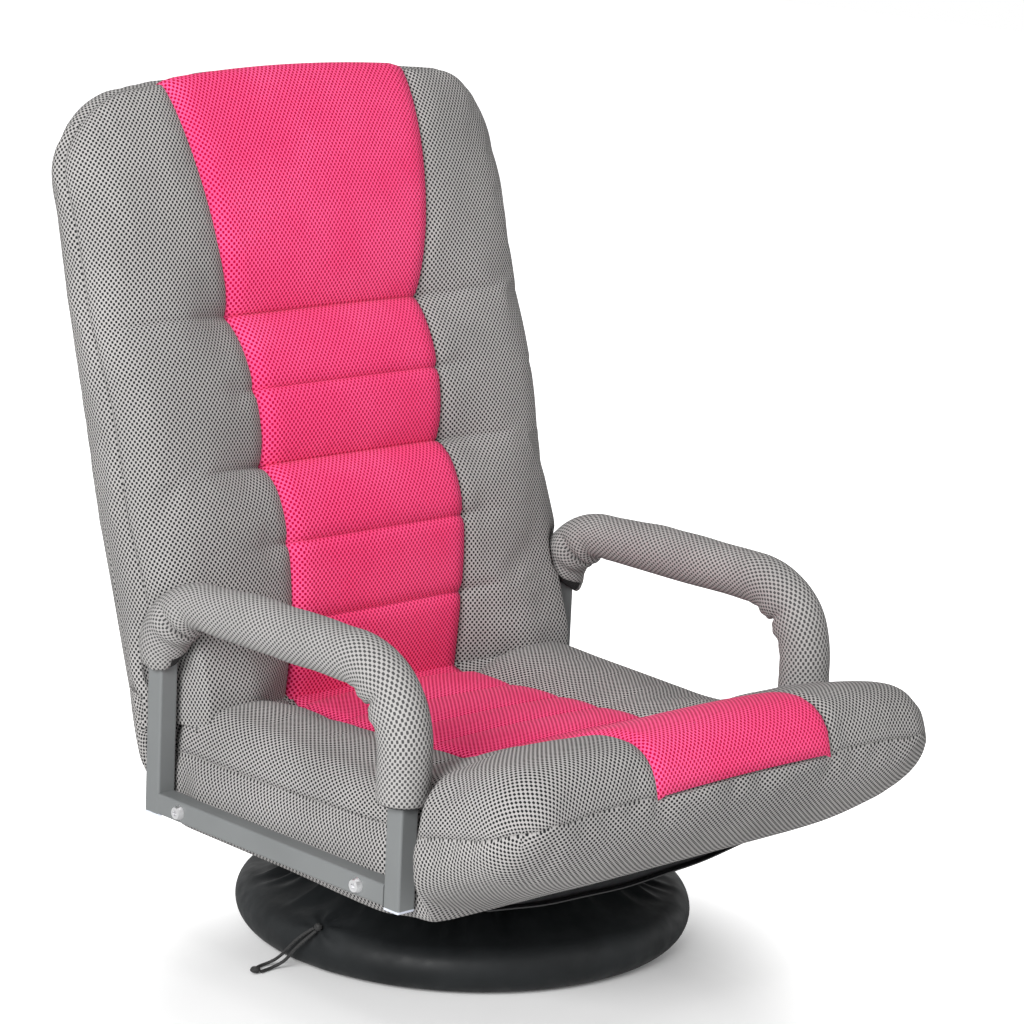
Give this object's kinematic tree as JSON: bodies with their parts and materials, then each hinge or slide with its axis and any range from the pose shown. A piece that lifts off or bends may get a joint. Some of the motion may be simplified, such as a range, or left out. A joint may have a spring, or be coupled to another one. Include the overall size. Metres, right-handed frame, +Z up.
{
  "type": "swivel floor chair",
  "caption": "Padded floor chair on a round cloth-covered swivel foot, with tube arms in padded sleeves and a tall backrest that reclines flat and folds forward onto the seat.",
  "frame": {"origin": "on the swivel axis at floor level, in the middle of the flat bottom of the round foot", "axes": "+Z up along the swivel axis, the sitter faces -Y, +X to the viewer's right from the front"},
  "size_m": [0.552, 0.7305, 0.761],
  "materials": {
    "arm_steel": "satin powder coat",
    "frame_steel": "satin black",
    "zinc_steel": "zinc plated",
    "grey_mesh": "spacer mesh fabric",
    "pink_mesh": "spacer mesh fabric",
    "black_cloth": "coated black cloth",
    "foam": "open-cell foam",
    "webbing": "elastic webbing",
    "zip": "black coil zip",
    "light_plastic": "moulded",
    "dark_plastic": "moulded",
    "cord": "braided cord"
  },
  "bodies": {
    "base": {"base_ring": "frame_steel", "base_cross_bars": "frame_steel", "base_rim_foam": "foam", "base_cover": "black_cloth", "base_bottom_panel": "black_cloth", "swivel_lower_plate": "zinc_steel", "base_bolts": "zinc_steel", "base_nuts": "zinc_steel", "swivel_balls": "zinc_steel", "swivel_ball_cage": "dark_plastic", "swivel_pivot": "zinc_steel", "drawstring_exit_knot": "cord", "drawstring_strand_a": "cord", "drawstring_strand_b": "cord", "drawstring_end_knot": "cord"},
    "seat": {"swivel_upper_plate": "zinc_steel", "seat_bolts": "zinc_steel", "seat_swivel_bars": "frame_steel", "seat_frame": "frame_steel", "seat_webbing": "webbing", "seat_cushion": "grey_mesh", "seat_centre_panel": "pink_mesh", "seat_front_roll": "grey_mesh", "roll_centre_panel": "pink_mesh", "seat_bottom_panel": "black_cloth", "seat_zipper": "zip", "left_arm_tube": "arm_steel", "right_arm_tube": "arm_steel", "left_arm_rail": "arm_steel", "right_arm_rail": "arm_steel", "left_arm_foam": "foam", "right_arm_foam": "foam", "left_arm_sleeve": "grey_mesh", "right_arm_sleeve": "grey_mesh", "arm_end_caps": "light_plastic", "arm_bolts": "zinc_steel", "arm_nuts": "zinc_steel", "arm_spacers": "zinc_steel", "hinge_seat_leaves": "frame_steel", "hinge_pins": "zinc_steel", "hinge_pawls": "zinc_steel", "rear_gusset": "grey_mesh"},
    "backrest": {"hinge_back_leaves": "frame_steel", "hinge_ratchets": "zinc_steel", "back_frame": "frame_steel", "back_cross_bars": "frame_steel", "back_webbing": "webbing", "back_cushion": "grey_mesh", "back_centre_panel": "pink_mesh", "back_rear_panel": "black_cloth", "back_zipper": "zip", "left_back_wing": "grey_mesh", "right_back_wing": "grey_mesh", "back_lower_roll": "grey_mesh"}
  },
  "joints": [
    {"name": "swivel", "type": "hinge", "parent": "base", "child": "seat", "pos_m": [0, 0, 0.1], "axis": [0, 0, 1], "continuous": true},
    {"name": "recline", "type": "hinge", "parent": "seat", "child": "backrest", "pos_m": [0, 0.125, 0.214], "axis": [1, 0, 0], "range_deg": [-72, 94], "deforming": ["rear_gusset", "left_back_wing", "right_back_wing", "back_lower_roll"]}
  ]
}
